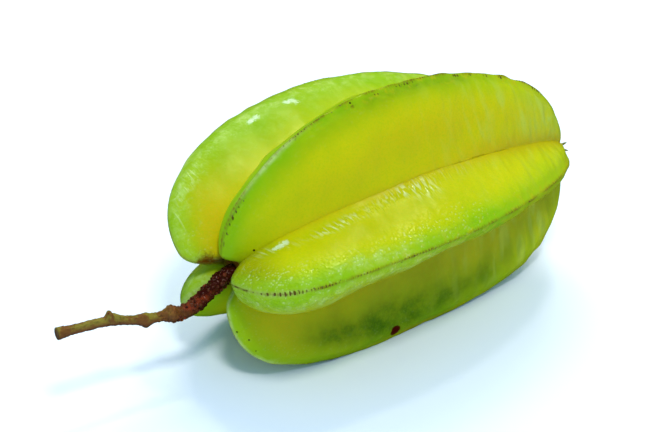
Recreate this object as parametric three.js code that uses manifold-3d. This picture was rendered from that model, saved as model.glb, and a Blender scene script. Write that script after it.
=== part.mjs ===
// A ripe five-ribbed fruit and its woody stem, lying on a flat surface.
// Millimetres. +X runs from the stem end to the tip, +Z is up, z = 0 is the surface it lies on.

import * as THREE from 'three';
import { LoftGeometry } from 'three/addons/geometries/LoftGeometry.js';
import { mergeVertices } from 'three/addons/utils/BufferGeometryUtils.js';
import Module from 'manifold-3d';

// Main dimensions
const FRUIT_LENGTH = 105;
const AXIS_HEIGHT = 28.1;
const CAVITY_DEPTH = 0.5;
const CAVITY_RADIUS = 3.4;
const TIP_RADIUS = 1.5;
const TIP_SHOULDER = 4;
const TIP_DIP = 0.5;
const FULL_TURN = 360;

// The five ribs, named by where they point.
// angle: turn from straight up towards the front, in degrees.
// height: crest above the axis at its widest place, which is at x = widest.
// reach: how far the shoulder stands out past the stem end. shoulder: its distance from the axis.
// rise and fall: how full the crest line is towards the stem end and towards the tip.
// tip: how far the crest stands out past the tip. throat: how soon it leaves the stem inside the cavity.
// belly: how far the flanks before and after the crest bulge at the middle of the fruit.
// puff: how much more they bulge beside the shoulder.
// furrow: how far from the axis the furrow after the rib lies where it is furthest out.
const RIBS = [
  {
    name: 'top', angle: 2, height: 37.3, widest: 40, reach: 3.4, shoulder: 6.3,
    rise: 0.48, fall: 0.54, tip: -0.4, throat: 0.1, belly: [1.4, 1.6], puff: [3, 0.8],
    furrow: 20.5,
  },
  {
    name: 'front', angle: 75.5, height: 31.7, widest: 40, reach: 5.6, shoulder: 10,
    rise: 0.84, fall: 0.46, tip: -2.3, throat: 0.15, belly: [1.4, 0.6], puff: [0.4, 8.5],
    furrow: 12.5,
  },
  {
    name: 'front_low', angle: 155.5, height: 31, widest: 41, reach: 4.3, shoulder: 11,
    rise: 0.71, fall: 0.71, tip: -2.1, throat: 0.4, belly: [1.2, 1.6], puff: [1, 1.2],
    furrow: 17,
  },
  {
    name: 'back_low', angle: 220, height: 36.3, widest: 41, reach: 9, shoulder: 9.5,
    rise: 0.67, fall: 0.6, tip: -1, throat: 0.3, belly: [1.6, 1.8], puff: [1.5, 5.5],
    furrow: 20.5,
  },
  {
    name: 'back', angle: 301.5, height: 41.8, widest: 47, reach: 10.2, shoulder: 9.5,
    rise: 0.57, fall: 0.51, tip: -0.5, throat: 0.1, belly: [1.8, 1.4], puff: [2, 1],
    furrow: 20.5,
  },
];

// How round the crest line turns over the shoulder and over the tip
const SHOULDER_REACH = 0.6;
const TURN_IN = 0.55;
const TIP_LIFT = 0.1;

// Furrows between the ribs. Their lowest line rises from the cavity, is furthest out at
// FURROW_WIDEST and runs in to the tip. FURROW_SPLIT is where it turns, as a share of its steps.
const FURROW_WIDEST = 54;
const FURROW_FULLNESS = 0.42;
const FURROW_RISE = 0.6;
const FURROW_FALL = 0.45;
const FURROW_SPLIT = 0.45;

// Flank shape: width of the rounded crest, where the flank bends towards the furrow, and slow waves
const CREST_WIDTH = 4.2;
const CREST_SOFT = 6;
const FLANK_DEPTH = 0.45;
const FLANK_SPREAD = 0.55;
const FLANK_SLANT = 0.35;
const SHALLOW_SOFT = 3;
const PUFF_PLACE = 0.29;
const PUFF_RUN = 0.26;
const PUFF_ON_CREST = 0.8;
const PUFF_ON_FLANK = 0.7;
const PUFF_SOFT = 12;
const WAVE_HEIGHT = 0.35;
const WAVE_TURN = 0.21;
const WAVE_SHIFT = 1.3;

// Styles at the tip
const STYLE_COUNT = 5;
const STYLE_RADIUS = 0.55;
const STYLE_LENGTH = 3.2;
const STYLE_ROOT = 1.2;
const STYLE_RING = 0.9;
const STYLE_SPLAY = 25;
const STYLE_SIDES = 6;

// Stem: centre line from the cavity floor to the cut end, as x, y and height above the fruit's axis
const STEM_GAP = 0.3;
const STEM_PATH = [
  [CAVITY_DEPTH - STEM_GAP, 0, 0],
  [-1.4, 0.1, -0.5],
  [-4.8, 0.5, -2.9],
  [-7.6, 0.8, -4.8],
  [-10.4, 1, -6.5],
  [-13.4, 1.3, -7.3],
  [-16.7, 1.7, -7.3],
  [-20, 2, -6.7],
  [-24, 2.4, -6.2],
  [-31.7, 3.2, -3.9],
  [-36, 3.6, -3.2],
  [-46.6, 4.7, -2.6],
];
const STEM_ROOT_RADIUS = 1.85;
const STEM_THIN_RADIUS = 1.15;
const STEM_ROOT_END = -7;
const STEM_TAPER_RUN = 13;
const STEM_STEPS = 72;
const STEM_SIDES = 14;

// Swellings of the stem: place along it, direction round it, height, length and how narrow
const STEM_KNOTS = [
  { x: -12.5, turn: 270, height: 0.35, run: 1.8, narrow: 1 },
  { x: -17, turn: 90, height: 1.3, run: 1.5, narrow: 1 },
  { x: -16, turn: 270, height: 0.4, run: 1.8, narrow: 1 },
  { x: -23.6, turn: 270, height: 1, run: 1.2, narrow: 2 },
  { x: -24, turn: 90, height: 0.7, run: 1.3, narrow: 2 },
  { x: -31.8, turn: 90, height: 0.6, run: 1.3, narrow: 2 },
  { x: -33.3, turn: 90, height: 1.5, run: 0.7, narrow: 4 },
  { x: -46.6, turn: 0, height: 0.4, run: 2.2, narrow: 0 },
];

// The frame's origin is under the middle of the whole object
const MIDDLE_X = 29.7;
const MIDDLE_Y = 2.5;

// Mesh steps
const STEPS_SHOULDER = 10;
const STEPS_RISE = 18;
const STEPS_FALL = 20;
const STEPS_TIP = 5;
const STEPS_FLANK = 7;
const CREST_CROWDING = 1.5;

// Where along the furrow each part of the crest line begins: cavity, shoulder, widest place, tip
const FURROW_FROM = [0, 0.07, 0.4, 0.96, 1];

const JOIN_DISTANCE = 1e-4;

const radians = THREE.MathUtils.degToRad;

function cubic(p, q, r, s, t) {
  const m = 1 - t;
  return m * m * m * p + 3 * m * m * t * q + 3 * m * t * t * r + t * t * t * s;
}

// A point in the plane of the axis: distance along it and distance from it
function planePoint(p, q, r, s, t) {
  return [cubic(p[0], q[0], r[0], s[0], t), cubic(p[1], q[1], r[1], s[1], t)];
}

// Crest line: out of the stem cavity, over the shoulder, along the rib and in to the tip
function crestPoint(rib, part, t) {
  const floor = [CAVITY_DEPTH, CAVITY_RADIUS];
  const front = [-rib.reach, rib.shoulder];
  const top = [rib.widest, rib.height];
  const end = [FRUIT_LENGTH + rib.tip, TIP_SHOULDER];
  const inner = [FRUIT_LENGTH - TIP_DIP, TIP_RADIUS];
  if (part === 0) {
    const lift = front[1] - floor[1];
    const leave = [floor[0] - SHOULDER_REACH * (floor[0] - front[0]), floor[1] + rib.throat * lift];
    return planePoint(floor, leave, [front[0], front[1] - TURN_IN * lift], front, t);
  }
  if (part === 1) {
    const leave = [front[0], front[1] + rib.rise * (top[1] - front[1])];
    return planePoint(front, leave, [top[0] - rib.rise * (top[0] - front[0]), top[1]], top, t);
  }
  if (part === 2) {
    const leave = [top[0] + rib.fall * (end[0] - top[0]), top[1]];
    return planePoint(top, leave, [end[0], end[1] + rib.fall * (top[1] - end[1])], end, t);
  }
  const drop = end[1] - inner[1];
  const arrive = [inner[0] + SHOULDER_REACH * (end[0] - inner[0]), inner[1] + TIP_LIFT * drop];
  return planePoint(end, [end[0], end[1] - TURN_IN * drop], arrive, inner, t);
}

// Lowest line of a furrow that is furthest out at the given radius
function furrowPoint(radius, t) {
  const start = [CAVITY_DEPTH, CAVITY_RADIUS];
  const top = [FURROW_WIDEST, radius];
  const end = [FRUIT_LENGTH - TIP_DIP, TIP_RADIUS];
  if (t < FURROW_SPLIT) {
    const leave = [start[0], start[1] + FURROW_RISE * (top[1] - start[1])];
    const arrive = [top[0] - FURROW_FULLNESS * (top[0] - start[0]), top[1]];
    return planePoint(start, leave, arrive, top, t / FURROW_SPLIT);
  }
  const leave = [top[0] + FURROW_FULLNESS * (end[0] - top[0]), top[1]];
  const arrive = [end[0], end[1] + FURROW_FALL * (top[1] - end[1])];
  return planePoint(top, leave, arrive, end, (t - FURROW_SPLIT) / (1 - FURROW_SPLIT));
}

// Every ring is a place along the ribs: part of the crest line, place in that part, place in the furrow
function ringPlaces() {
  const places = [];
  const parts = [STEPS_SHOULDER, STEPS_RISE, STEPS_FALL, STEPS_TIP];
  parts.forEach((steps, part) => {
    for (let i = part === 0 ? 0 : 1; i <= steps; i += 1) {
      const t = i / steps;
      const furrow = FURROW_FROM[part] + (FURROW_FROM[part + 1] - FURROW_FROM[part]) * t;
      places.push({ part, t, furrow, along: (part + t) / parts.length });
    }
  });
  return places;
}

// A point on one flank of a rib at one ring: u = 0 on the crest and 1 in the furrow.
// x runs along the axis, a away from it along the rib and b sideways.
function flankPoint(rib, place, flank, u) {
  const { side, halfGap } = flank;
  const [crestX, crestR] = crestPoint(rib, place.part, place.t);
  const [furrowX, furrowR] = furrowPoint(flank.furrow, place.furrow);
  const which = side < 0 ? 0 : 1;
  const full = crestR / rib.height;
  const nearStem = Math.max(0, 1 - ((place.along - PUFF_PLACE) / PUFF_RUN) ** 2) ** 2;
  const puff = rib.puff[which] * nearStem;
  const round = CREST_WIDTH * crestR / (crestR + CREST_SOFT);
  const width = round + PUFF_ON_CREST * puff * crestR / (crestR + PUFF_SOFT);
  const furrowA = furrowR * Math.cos(halfGap);
  const furrowB = furrowR * Math.sin(halfGap);
  const deep = crestR - furrowA;
  const bulge = (rib.belly[which] * full + PUFF_ON_FLANK * puff) * deep / (deep + SHALLOW_SOFT);
  const spread = width + FLANK_SPREAD * (furrowB - width) + bulge;
  const wave = Math.sin(WAVE_TURN * crestX + WAVE_SHIFT * side + rib.angle) * Math.sin(Math.PI * u);
  return {
    x: cubic(crestX, crestX, furrowX + FLANK_SLANT * (crestX - furrowX), furrowX, u),
    a: cubic(crestR, crestR, furrowA + FLANK_DEPTH * deep, furrowA, u),
    b: side * (cubic(0, width, spread, furrowB, u) + WAVE_HEIGHT * full * wave),
  };
}

function gapBetween(first, second) {
  return radians((second.angle - first.angle + FULL_TURN) % FULL_TURN);
}

// One whole ring, running round from rib to rib
function ring(place) {
  const points = [];
  RIBS.forEach((rib, i) => {
    const before = RIBS[(i + RIBS.length - 1) % RIBS.length];
    const after = RIBS[(i + 1) % RIBS.length];
    const turn = radians(rib.angle);
    const nearer = { side: -1, halfGap: gapBetween(before, rib) / 2, furrow: before.furrow };
    const further = { side: 1, halfGap: gapBetween(rib, after) / 2, furrow: rib.furrow };
    for (let k = STEPS_FLANK; k > -STEPS_FLANK; k -= 1) {
      const u = (Math.abs(k) / STEPS_FLANK) ** CREST_CROWDING;
      const { x, a, b } = flankPoint(rib, place, k > 0 ? nearer : further, u);
      const front = a * Math.sin(turn) + b * Math.cos(turn);
      const up = a * Math.cos(turn) - b * Math.sin(turn);
      points.push(new THREE.Vector3(x, -front, up + AXIS_HEIGHT));
    }
  });
  return points;
}

// Triangles whose corners are joined, so that the body is closed
function bare(positions, index) {
  const plain = new THREE.BufferGeometry();
  plain.setAttribute('position', new THREE.Float32BufferAttribute(positions, 3));
  plain.setIndex(index);
  return mergeVertices(plain, JOIN_DISTANCE);
}

function joined(geometry) {
  return bare(Array.from(geometry.getAttribute('position').array), Array.from(geometry.index.array));
}

// The loft of all rings, closed by the cavity floor and by the middle of the tip.
// Both lie behind the rings beside them, so their faces are laid here and not by the loft.
function bodyGeometry(rings) {
  const wall = new LoftGeometry(rings, { closed: true });
  const positions = Array.from(wall.getAttribute('position').array);
  const index = Array.from(wall.index.array);
  const count = rings[0].length;
  const first = positions.length / 3;
  positions.push(CAVITY_DEPTH, 0, AXIS_HEIGHT, FRUIT_LENGTH - TIP_DIP, 0, AXIS_HEIGHT);
  const lastRow = (rings.length - 1) * (count + 1);
  for (let k = 0; k < count; k += 1) {
    index.push(first, k + 1, k);
    index.push(first + 1, lastRow + k, lastRow + k + 1);
  }
  return bare(positions, index);
}

function toSolid(wasm, geometry) {
  return new wasm.Manifold(new wasm.Mesh({
    numProp: 3,
    vertProperties: new Float32Array(geometry.getAttribute('position').array),
    triVerts: new Uint32Array(geometry.index.array),
  }));
}

function toGeometry(solid) {
  const mesh = solid.getMesh();
  const geometry = new THREE.BufferGeometry();
  geometry.setAttribute('position', new THREE.BufferAttribute(new Float32Array(mesh.vertProperties), 3));
  geometry.setIndex(new THREE.BufferAttribute(new Uint32Array(mesh.triVerts), 1));
  geometry.computeVertexNormals();
  return geometry;
}

// Short dried styles left at the tip, one behind each furrow
function style(index) {
  const cone = new THREE.ConeGeometry(STYLE_RADIUS, STYLE_LENGTH, STYLE_SIDES);
  cone.translate(0, STYLE_LENGTH / 2 - STYLE_ROOT, 0);
  cone.rotateZ(-Math.PI / 2);
  cone.rotateY(-radians(STYLE_SPLAY));
  cone.translate(FRUIT_LENGTH - TIP_DIP, 0, STYLE_RING);
  cone.rotateX((2 * Math.PI * (index + 0.5)) / STYLE_COUNT);
  cone.translate(0, 0, AXIS_HEIGHT);
  return cone;
}

function fruitGeometry(wasm) {
  let fruit = toSolid(wasm, bodyGeometry(ringPlaces().map(ring)));
  for (let i = 0; i < STYLE_COUNT; i += 1) {
    fruit = fruit.add(toSolid(wasm, joined(style(i))));
  }
  const below = new THREE.BoxGeometry(4 * FRUIT_LENGTH, 4 * FRUIT_LENGTH, FRUIT_LENGTH);
  below.translate(0, 0, -FRUIT_LENGTH / 2);
  return toGeometry(fruit.subtract(toSolid(wasm, joined(below))));
}

// Stem radius: tapering rod with round swellings
function stemRadius(x, turn) {
  const along = Math.min(1, Math.max(0, (STEM_ROOT_END - x) / STEM_TAPER_RUN));
  const ease = along * along * (3 - 2 * along);
  let radius = STEM_ROOT_RADIUS + (STEM_THIN_RADIUS - STEM_ROOT_RADIUS) * ease;
  STEM_KNOTS.forEach((knot) => {
    const near = Math.exp(-(((x - knot.x) / knot.run) ** 2));
    const facing = (0.5 + 0.5 * Math.cos(turn - radians(knot.turn))) ** knot.narrow;
    radius += knot.height * near * facing;
  });
  return radius;
}

function stemGeometry() {
  const line = STEM_PATH.map(([x, y, rise]) => new THREE.Vector3(x, y, rise + AXIS_HEIGHT));
  const path = new THREE.CatmullRomCurve3(line);
  const up = new THREE.Vector3(0, 0, 1);
  const sections = [];
  for (let i = 0; i <= STEM_STEPS; i += 1) {
    const centre = path.getPointAt(i / STEM_STEPS);
    const ahead = i === 0 ? new THREE.Vector3(-1, 0, 0) : path.getTangentAt(i / STEM_STEPS);
    const side = new THREE.Vector3().crossVectors(up, ahead).normalize();
    const over = new THREE.Vector3().crossVectors(ahead, side);
    const section = [];
    for (let k = 0; k < STEM_SIDES; k += 1) {
      const turn = (2 * Math.PI * k) / STEM_SIDES;
      const radius = stemRadius(centre.x, turn);
      section.push(centre.clone()
        .addScaledVector(side, radius * Math.cos(turn))
        .addScaledVector(over, radius * Math.sin(turn)));
    }
    sections.push(section);
  }
  const geometry = joined(new LoftGeometry(sections, { closed: true, capStart: true, capEnd: true }));
  geometry.computeVertexNormals();
  return geometry;
}

function skinMaterial() {
  return new THREE.MeshStandardMaterial({ color: 0xb4c814, roughness: 0.35, metalness: 0 });
}

function barkMaterial() {
  return new THREE.MeshStandardMaterial({ color: 0x5a3218, roughness: 0.8, metalness: 0 });
}

function named(name, geometry, material) {
  geometry.translate(-MIDDLE_X, -MIDDLE_Y, 0);
  const mesh = new THREE.Mesh(geometry, material);
  mesh.name = name;
  return mesh;
}

const wasm = await Module();
wasm.setup();
const part = new THREE.Group();
part.name = 'ribbed_fruit';
part.add(named('fruit', fruitGeometry(wasm), skinMaterial()));
part.add(named('stem', stemGeometry(), barkMaterial()));

export default part;
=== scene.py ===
import math

import bpy
import numpy as np
from mathutils import Matrix, Vector


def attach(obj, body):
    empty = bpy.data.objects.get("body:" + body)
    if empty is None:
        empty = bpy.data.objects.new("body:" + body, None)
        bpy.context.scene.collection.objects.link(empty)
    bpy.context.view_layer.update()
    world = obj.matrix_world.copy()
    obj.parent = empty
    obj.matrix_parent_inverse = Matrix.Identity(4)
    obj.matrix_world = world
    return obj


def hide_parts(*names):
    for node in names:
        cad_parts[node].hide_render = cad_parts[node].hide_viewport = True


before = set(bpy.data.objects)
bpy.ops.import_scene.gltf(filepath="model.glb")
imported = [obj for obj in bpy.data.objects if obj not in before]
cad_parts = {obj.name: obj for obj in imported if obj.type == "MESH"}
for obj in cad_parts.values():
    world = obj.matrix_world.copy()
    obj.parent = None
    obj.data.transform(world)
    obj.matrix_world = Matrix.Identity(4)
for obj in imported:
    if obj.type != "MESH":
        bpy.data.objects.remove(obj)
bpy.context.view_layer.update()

bl_info = {
    "name": "Star Fruit",
    "version": (1, 0, 0),
    "blender": (4, 5, 0),
    "location": "3D View > Sidebar > Star Fruit",
    "description": "Builds a ripe star fruit with its woody stem, lying on a pale floor",
    "category": "Add Mesh",
}

# Ribs in the order top, front, lower front, lower back, back
TOP, FRONT, LOW_FRONT, LOW_BACK, BACK = range(5)
RIB_COUNT = 5
MM = 0.001


# Settings

def length(name, text, value, **more):
    return bpy.props.FloatProperty(name=name, description=text, default=value, unit="LENGTH", **more)


def lengths(name, text, values):
    return bpy.props.FloatVectorProperty(name=name, description=text, default=values, size=len(values), unit="LENGTH")


def shares(name, text, values):
    return bpy.props.FloatVectorProperty(name=name, description=text, default=values, size=len(values))


def colour(name, text, value):
    return bpy.props.FloatVectorProperty(
        name=name, description=text, default=value, size=3, subtype="COLOR", min=0, max=1)


class FruitSettings(bpy.types.PropertyGroup):
    """Sizes of the fruit"""
    fruit_length: length("Length", "Cavity side to tip, along the axis", 0.105)
    axis_height: length("Axis height", "Height of the axis above the surface", 0.0281)
    middle: lengths("Middle", "Where the stem end lies from the origin, turned round", (0.0297, 0.0025))
    cavity_depth: length("Cavity depth", "How far in the floor of the stem cavity lies", 0.0005)
    cavity_radius: length("Cavity radius", "Radius of the floor of the stem cavity", 0.0034)
    tip_radius: length("Tip radius", "Radius of the middle of the tip", 0.0015)
    tip_shoulder: length("Tip shoulder", "Where the crests turn in at the tip, from the axis", 0.004)
    tip_dip: length("Tip dip", "How far in the middle of the tip lies", 0.0005)
    rib_angle: bpy.props.FloatVectorProperty(
        name="Rib angles", description="Turn of each rib from straight up towards the front", size=5, unit="ROTATION",
        default=[math.radians(a) for a in (2, 75.5, 155.5, 220, 301.5)])
    rib_height: lengths("Rib heights", "Crest above the axis at its widest", (0.0373, 0.0317, 0.031, 0.0363, 0.0418))
    rib_widest: lengths("Widest places", "Where each crest is furthest out", (0.040, 0.040, 0.041, 0.041, 0.047))
    rib_reach: lengths("Shoulder reach", "How far each shoulder stands past the stem end",
                       (0.0034, 0.0056, 0.0043, 0.009, 0.0102))
    rib_shoulder: lengths("Shoulder height", "Distance of each shoulder from the axis",
                          (0.0063, 0.010, 0.011, 0.0095, 0.0095))
    rib_tip: lengths("Tip reach", "How far each crest stands past the tip",
                     (-0.0004, -0.0023, -0.0021, -0.001, -0.0005))
    rib_rise: shares("Rise", "How full each crest line is towards the stem end", (0.48, 0.84, 0.71, 0.67, 0.57))
    rib_fall: shares("Fall", "How full each crest line is towards the tip", (0.54, 0.46, 0.71, 0.60, 0.51))
    rib_throat: shares("Throat", "How soon each crest leaves the stem", (0.10, 0.15, 0.40, 0.30, 0.10))
    belly_before: lengths("Belly before", "Bulge of the flank before each crest",
                          (0.0014, 0.0014, 0.0012, 0.0016, 0.0018))
    belly_after: lengths("Belly after", "Bulge of the flank after each crest",
                         (0.0016, 0.0006, 0.0016, 0.0018, 0.0014))
    puff_before: lengths("Puff before", "Added bulge beside the shoulder, before the crest",
                         (0.003, 0.0004, 0.001, 0.0015, 0.002))
    puff_after: lengths("Puff after", "Added bulge beside the shoulder, after the crest",
                        (0.0008, 0.0085, 0.0012, 0.0055, 0.001))
    furrow_radius: lengths("Furrow radii", "Furthest that the floor of the furrow after each rib is from the axis",
                           (0.0205, 0.0125, 0.017, 0.0205, 0.0205))
    furrow_widest: length("Furrow widest", "Where the furrow is furthest out", 0.054)
    ripple: length("Ripple", "Height of the uneven swells of the skin", 0.00016)
    seam_height: length("Seam height", "Height of the thin line along each crest", 0.00020)
    pinch: length("Pinch", "How far the skin is drawn in beside each crest", 0.00035)
    furrow_fill: length("Furrow fill", "How far the furrows are rounded out", 0.0012)


class SkinSettings(bpy.types.PropertyGroup):
    """Colours of the skin"""
    yellow: colour("Yellow", "Ripe flank", (0.61, 0.56, 0.001))
    green: colour("Green", "Skin beside the crests and the shoulders", (0.275, 0.485, 0.002))
    # Painted shade: deep green darkening on the undersides of the ribs, beside some crests and near the stem
    shade_green: colour("Deep green", "Underside of the ribs", (0.055, 0.14, 0.0))
    amber: colour("Amber", "Skin in the furrows", (0.62, 0.44, 0.002))
    olive: colour("Olive", "Shaded flanks near the furrow", (0.33, 0.33, 0.004))
    # Pale mottling of the rims, and painted light: a soft pale streak on the back rib by the stem, a pale rim line on
    # the lower front rib and lightening of the shaded lower back rib
    mint_and_sheen: colour("Mint", "Pale mottling of the rims", (0.46, 0.62, 0.10))
    pale: colour("Pale", "Streaks near the tip", (0.54, 0.60, 0.07))
    seam: colour("Seam", "Thin line along each crest", (0.20, 0.115, 0.005))
    # Painted highlights: pale strokes and specks in place of glints
    glint: colour("Glint", "Pale crosswise strokes beside the front furrow", (0.86, 0.90, 0.42))
    # Painted highlight: pale line along the crests
    ridge_highlight: colour("Rim line", "Pale line on the crests near the stem", (0.55, 0.68, 0.20))
    brown: colour("Brown", "Bruised and corky spots", (0.095, 0.045, 0.004))
    # Russet: the real stain beside the stem, and painted shade in the stem cavity
    russet: colour("Russet", "Stain beside the stem", (0.15, 0.05, 0.002))
    scab: colour("Scab", "Healed wound on the lower rib", (0.09, 0.002, 0.001))
    # Painted highlight: whitish dabs in place of glints on the ribs
    glint_dab: colour("Glint dabs", "Whitish dabs on the ribs", (0.82, 0.93, 0.55))
    cork: colour("Cork", "Pale side of the crest flecks", (0.22, 0.17, 0.03))
    style_brown: colour("Style brown", "Dried styles", (0.16, 0.11, 0.02))
    style_green: colour("Style green", "Fresher patches of the styles", (0.30, 0.33, 0.05))


class StemSettings(bpy.types.PropertyGroup):
    """Sizes and colours of the stem"""
    root_radius: length("Root radius", "Radius where the stem leaves the fruit", 0.00185)
    thin_radius: length("Thin radius", "Radius of the thin part", 0.00115)
    root_end: length("Root end", "Where the stem begins to taper", -0.007)
    taper_run: length("Taper run", "Length over which it tapers", 0.013)
    gap: length("Gap", "Room between the stem and the cavity floor", 0.0003)
    wart_size: length("Wart size", "Radius of the largest corky wart", 0.00062)
    root_colour: colour("Root colour", "Glossy bark beside the fruit", (0.040, 0.0035, 0.0015))
    warm_colour: colour("Warm colour", "Reddish patches", (0.27, 0.034, 0.006))
    bark_colour: colour("Bark colour", "Bark of the thin part", (0.19, 0.060, 0.007))
    green_colour: colour("Green bark", "Young skin on the upper side", (0.25, 0.185, 0.015))
    wart_colour: colour("Wart colour", "Corky warts", (0.15, 0.040, 0.010))
    # Painted highlights on the stem
    shine_colour: colour("Shine", "Bright specks on the upper side near the fruit", (0.50, 0.24, 0.16))
    cut_colour: colour("Cut end", "Wood of the cut end", (0.16, 0.085, 0.025))


class StageSettings(bpy.types.PropertyGroup):
    """Camera, floor and light"""
    azimuth: bpy.props.FloatProperty(
        name="Azimuth", description="Turn of the camera round the fruit", unit="ROTATION",
        default=math.radians(-36.1))
    elevation: bpy.props.FloatProperty(
        name="Elevation", description="Height angle of the camera", default=math.radians(30.71), unit="ROTATION")
    distance: length("Distance", "Camera to its target", 0.5443)
    lens: bpy.props.FloatProperty(
        name="Lens", description="Focal length on a 36 mm wide sensor", default=121.0, unit="CAMERA")
    target: lengths("Target", "Point that the camera looks at", (-0.00167, -0.0025, 0.03385))
    floor_size: length("Floor size", "Side of the floor", 6.0)
    floor_colour: colour("Floor colour", "Plain pale floor", (0.94, 0.945, 0.95))
    sky_colour: colour("Sky colour", "Light from all round", (0.38, 0.64, 1.0))
    sky_strength: bpy.props.FloatProperty(name="Sky strength", description="Strength of that light", default=0.88)


# Surface of the fruit

FURROW_SHARES = np.array([0.0, 0.07, 0.40, 0.96, 1.0])
FURROW_SPLIT = 0.45
RING_STEPS = (46, 124, 146, 30)
FLANK_STEPS = 24
CROWDING = 1.5
CREST_WIDTH = 0.0042
WAVE_HEIGHT = 0.00035
RIB_SHIFT = 0.37  # sets the ribs apart in the pattern along the fruit


def cubic(p, q, r, s, t):
    m = 1 - t
    return m ** 3 * p + 3 * m * m * t * q + 3 * m * t * t * r + t ** 3 * s


def plane_curve(p, q, r, s, t):
    return np.stack([cubic(p[k], q[k], r[k], s[k], t) for k in (0, 1)], -1)


def crest_line(s, rib, part, t):
    """Crest of one rib: distance along the axis and distance from it, for every ring"""
    floor = (s.cavity_depth, s.cavity_radius)
    front = (-s.rib_reach[rib], s.rib_shoulder[rib])
    top = (s.rib_widest[rib], s.rib_height[rib])
    end = (s.fruit_length + s.rib_tip[rib], s.tip_shoulder)
    inner = (s.fruit_length - s.tip_dip, s.tip_radius)
    rise, fall, lift, drop = s.rib_rise[rib], s.rib_fall[rib], front[1] - floor[1], end[1] - inner[1]
    shoulder = plane_curve(
        floor, (floor[0] - 0.6 * (floor[0] - front[0]), floor[1] + s.rib_throat[rib] * lift),
        (front[0], front[1] - 0.55 * lift), front, t)
    up = plane_curve(
        front, (front[0], front[1] + rise * (top[1] - front[1])),
        (top[0] - rise * (top[0] - front[0]), top[1]), top, t)
    down = plane_curve(
        top, (top[0] + fall * (end[0] - top[0]), top[1]),
        (end[0], end[1] + fall * (top[1] - end[1])), end, t)
    turn_in = plane_curve(
        end, (end[0], end[1] - 0.55 * drop),
        (inner[0] + 0.6 * (end[0] - inner[0]), inner[1] + 0.1 * drop), inner, t)
    return np.choose(part[:, None], [shoulder, up, down, turn_in])


def furrow_line(s, radius, t):
    """Lowest line of a furrow, for every ring"""
    start = (s.cavity_depth, s.cavity_radius)
    top = (s.furrow_widest, radius)
    end = (s.fruit_length - s.tip_dip, s.tip_radius)
    rising = plane_curve(
        start, (start[0], start[1] + 0.6 * (top[1] - start[1])),
        (top[0] - 0.42 * (top[0] - start[0]), top[1]), top, t / FURROW_SPLIT)
    falling = plane_curve(
        top, (top[0] + 0.42 * (end[0] - top[0]), top[1]),
        (end[0], end[1] + 0.45 * (top[1] - end[1])), end, (t - FURROW_SPLIT) / (1 - FURROW_SPLIT))
    return np.where((t < FURROW_SPLIT)[:, None], rising, falling)


def fruit_surface(s):
    """Points of every ring, with the rib, side, place along the axis and distance from crest and furrow of each"""
    part = np.concatenate([np.full(n + (k == 0), k) for k, n in enumerate(RING_STEPS)])
    t = np.concatenate([np.arange(0 if k == 0 else 1, n + 1) / n for k, n in enumerate(RING_STEPS)])
    share = FURROW_SHARES[part] + (FURROW_SHARES[part + 1] - FURROW_SHARES[part]) * t
    near_stem = np.clip(1 - (((part + t) / 4 - 0.29) / 0.26) ** 2, 0, None)[:, None] ** 2
    furrows = [furrow_line(s, radius, share)[:, None] for radius in s.furrow_radius]
    k = np.arange(FLANK_STEPS, -FLANK_STEPS, -1)
    side = np.where(k > 0, -1, 1)[None]
    even = (np.abs(k) / FLANK_STEPS)[None]
    u = (1 - even) * even ** CROWDING + even * (1 - (1 - even) ** CROWDING)
    points, facts = [], []
    for rib in range(RIB_COUNT):
        angle = s.rib_angle[rib]
        gap_before = (angle - s.rib_angle[rib - 1]) % (2 * math.pi) / 2
        gap_after = (s.rib_angle[(rib + 1) % RIB_COUNT] - angle) % (2 * math.pi) / 2
        half_gap = np.where(side < 0, gap_before, gap_after)
        crest = crest_line(s, rib, part, t)
        crest_x, crest_r = crest[:, :1], crest[:, 1:]
        furrow = np.where(side[..., None] < 0, furrows[rib - 1], furrows[rib])
        furrow_x, furrow_r = furrow[..., 0], furrow[..., 1]
        furrow_a, furrow_b = furrow_r * np.cos(half_gap), furrow_r * np.sin(half_gap)
        full = crest_r / s.rib_height[rib]
        puff = near_stem * np.where(side < 0, s.puff_before[rib], s.puff_after[rib])
        belly = np.where(side < 0, s.belly_before[rib], s.belly_after[rib])
        width = CREST_WIDTH * crest_r / (crest_r + 0.006) + 0.8 * puff * crest_r / (crest_r + 0.012)
        deep = crest_r - furrow_a
        bulge = (belly * full + 0.7 * puff) * deep / (deep + 0.003)
        wave = full * np.sin(210 * crest_x + 1.3 * side + math.degrees(angle)) * np.sin(np.pi * u)
        x = cubic(crest_x, crest_x, furrow_x + 0.35 * (crest_x - furrow_x), furrow_x, u)
        a = cubic(crest_r, crest_r, furrow_a + 0.45 * deep, furrow_a, u)
        b = side * (cubic(0, width, width + 0.55 * (furrow_b - width) + bulge, furrow_b, u) + WAVE_HEIGHT * wave)
        y = -(a * math.sin(angle) + b * math.cos(angle)) - s.middle[1]
        z = a * math.cos(angle) - b * math.sin(angle) + s.axis_height
        ring = np.stack([x - s.middle[0], y, z], -1)
        step = np.linalg.norm(np.diff(ring, axis=1), axis=2)
        before = np.cumsum(step[:, :FLANK_STEPS][:, ::-1], axis=1)[:, ::-1]
        after = np.cumsum(step[:, FLANK_STEPS:], axis=1)
        from_crest = np.concatenate([before, np.zeros((len(t), 1)), after], 1)
        edge = np.where(side < 0, from_crest[:, :1], from_crest[:, -1:] * 1.04)
        facts.append(np.stack(np.broadcast_arrays(
            float(rib), side * 1.0, x, from_crest, np.clip(edge - from_crest, 0, None)), -1))
        points.append(ring)
    return np.concatenate(points, 1), np.concatenate(facts, 1)


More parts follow.
